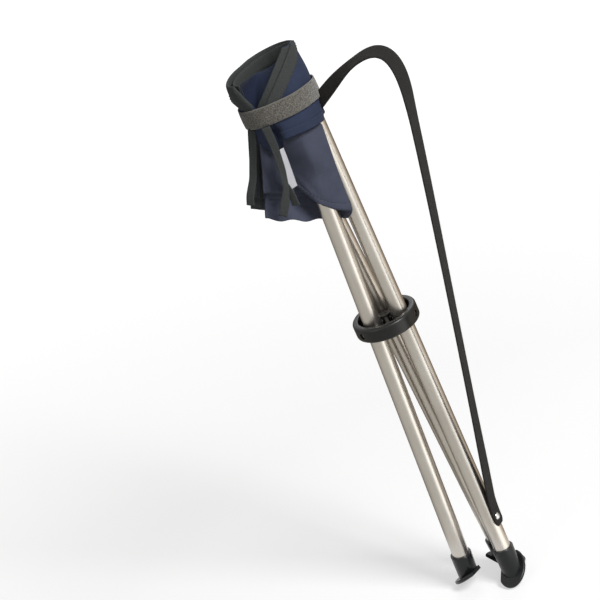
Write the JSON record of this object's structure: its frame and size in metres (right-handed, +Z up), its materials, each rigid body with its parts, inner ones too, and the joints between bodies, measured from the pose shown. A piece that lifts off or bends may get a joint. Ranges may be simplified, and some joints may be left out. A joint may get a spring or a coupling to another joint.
{
  "type": "folding stool",
  "caption": "Three-legged folding stool with a cloth seat: straight tubes cross in a ring hub and swing open; it is shown folded, wrapped in its band, with a carry strap.",
  "frame": {"origin": "middle of the underside of the folded stool's box, without its carry strap", "axes": "+Z up, with the folded legs standing on their three feet, -Y the side with the wide front pocket, +X the side of the strap"},
  "size_m": [0.1941, 0.1295, 0.6701],
  "materials": {
    "ring_plastic": "satin black",
    "pin_steel": "plain",
    "washer_plastic": "matte",
    "tube_metal": "satin champagne-silver",
    "foot_plastic": "satin black",
    "sole_rubber": "matte grey",
    "navy_cloth": "plain weave",
    "slate_cloth": "plain weave",
    "ribbed_tape": "ribbed",
    "fuzzy_band": "fuzzy loop pile",
    "label_cloth": "smooth satin",
    "strap_webbing": "woven webbing",
    "rivet_metal": "polished"
  },
  "bodies": {
    "hub": {"hub": "ring_plastic", "pin_left": "pin_steel", "pin_right": "pin_steel", "pin_rear": "pin_steel", "pin_washers": "washer_plastic", "pin_spacers": "washer_plastic"},
    "leg_left": {"tube_left": "tube_metal", "top_plug_left": "foot_plastic", "foot_left": "foot_plastic", "sole_pad_left": "sole_rubber", "pocket_left": "slate_cloth", "care_label": "label_cloth"},
    "leg_right": {"tube_right": "tube_metal", "top_plug_right": "foot_plastic", "foot_right": "foot_plastic", "sole_pad_right": "sole_rubber", "pocket_right": "navy_cloth", "carry_strap": "strap_webbing", "strap_rivet": "rivet_metal"},
    "leg_rear": {"tube_rear": "tube_metal", "top_plug_rear": "foot_plastic", "foot_rear": "foot_plastic", "sole_pad_rear": "sole_rubber", "pocket_rear": "slate_cloth"},
    "seat_left_a": {"seat_left_a": "navy_cloth", "edge_tape_left_a": "ribbed_tape"},
    "seat_left_b": {"seat_left_b": "navy_cloth", "edge_tape_left_b": "ribbed_tape"},
    "seat_right_a": {"seat_right_a": "navy_cloth", "edge_tape_right_a": "ribbed_tape"},
    "seat_right_b": {"seat_right_b": "navy_cloth", "edge_tape_right_b": "ribbed_tape"},
    "seat_rear_a": {"seat_rear_a": "navy_cloth", "edge_tape_rear_a": "ribbed_tape"},
    "seat_rear_b": {"seat_rear_b": "navy_cloth", "edge_tape_rear_b": "ribbed_tape"},
    "wrap": {"collar": "navy_cloth", "rim_binding": "ribbed_tape", "inner_edge_binding": "ribbed_tape", "front_edge_binding": "ribbed_tape", "hook_and_loop_band": "fuzzy_band", "hanging_loop": "ribbed_tape"}
  },
  "joints": [
    {"name": "leg_right_opens", "type": "hinge", "parent": "hub", "child": "leg_right", "pos_m": [0.03698, -0.00934, 0.34619], "axis": [-0.8657, 0.4994, -0.0331], "range_deg": [0, 32], "deforming": ["pocket_right", "carry_strap"]},
    {"name": "leg_left_opens", "type": "hinge", "parent": "hub", "child": "leg_left", "pos_m": [0.00581, -0.00935, 0.34566], "axis": [0.8661, 0.4999, -0.0032], "range_deg": [0, 27], "deforming": ["pocket_left", "care_label"]},
    {"name": "leg_rear_opens", "type": "hinge", "parent": "hub", "child": "leg_rear", "pos_m": [0.02141, 0.01764, 0.34495], "axis": [-0.0003, -0.9993, 0.0363], "range_deg": [0, 29.5], "deforming": ["pocket_rear"]},
    {"name": "seat_left_a_unfolds", "type": "hinge", "parent": "leg_left", "child": "seat_left_a", "pos_m": [0.00482, -0.01445, 0.65908], "axis": [-0.0358, 0.5001, -0.8653], "range_deg": [0, 165.41], "deforming": ["seat_left_a", "edge_tape_left_a"]},
    {"name": "seat_left_b_unfolds", "type": "hinge", "parent": "leg_left", "child": "seat_left_b", "pos_m": [0.02023, -0.00839, 0.62547], "axis": [0.9171, 0.2131, 0.3368], "range_deg": [0, 67.28], "deforming": ["seat_left_b", "edge_tape_left_b"]},
    {"name": "seat_right_a_unfolds", "type": "hinge", "parent": "leg_right", "child": "seat_right_a", "pos_m": [0.02565, -0.00264, 0.66335], "axis": [-0.8046, 0.3301, -0.4936], "range_deg": [0, 67.01], "deforming": ["seat_right_a", "edge_tape_right_a"]},
    {"name": "seat_right_b_unfolds", "type": "hinge", "parent": "leg_right", "child": "seat_right_b", "pos_m": [0.01388, 0.01277, 0.65065], "axis": [0.1015, 0.5153, 0.851], "range_deg": [0, 153.72], "deforming": ["seat_right_b", "edge_tape_right_b"]},
    {"name": "seat_rear_a_unfolds", "type": "hinge", "parent": "leg_rear", "child": "seat_rear_a", "pos_m": [-0.01281, 0.02212, 0.6389], "axis": [-0.5978, -0.3165, 0.7365], "range_deg": [0, 98.55], "deforming": ["seat_rear_a", "edge_tape_rear_a"]},
    {"name": "seat_rear_b_unfolds", "type": "hinge", "parent": "leg_rear", "child": "seat_rear_b", "pos_m": [-0.00312, 0.02094, 0.65647], "axis": [0.4856, -0.475, -0.7339], "range_deg": [0, 101.46], "deforming": ["seat_rear_b", "edge_tape_rear_b"]},
    {"name": "wrap_drops", "type": "slide", "parent": "hub", "child": "wrap", "axis": [0.0172, -0.0363, -0.9992], "range_m": [0, 0.076], "deforming": ["collar", "rim_binding", "inner_edge_binding", "front_edge_binding", "hook_and_loop_band", "hanging_loop"]}
  ],
  "couplings": [
    {"joint": "leg_left_opens", "follows": "leg_right_opens", "ratio": 0.84375},
    {"joint": "leg_rear_opens", "follows": "leg_right_opens", "ratio": 0.92188},
    {"joint": "seat_left_a_unfolds", "follows": "leg_right_opens", "ratio": 5.1691},
    {"joint": "seat_left_b_unfolds", "follows": "leg_right_opens", "ratio": 2.1026},
    {"joint": "seat_right_a_unfolds", "follows": "leg_right_opens", "ratio": 2.094},
    {"joint": "seat_right_b_unfolds", "follows": "leg_right_opens", "ratio": 4.8037},
    {"joint": "seat_rear_a_unfolds", "follows": "leg_right_opens", "ratio": 3.0797},
    {"joint": "seat_rear_b_unfolds", "follows": "leg_right_opens", "ratio": 3.1706},
    {"joint": "wrap_drops", "follows": "leg_right_opens", "m_per_rad": 0.13608}
  ]
}
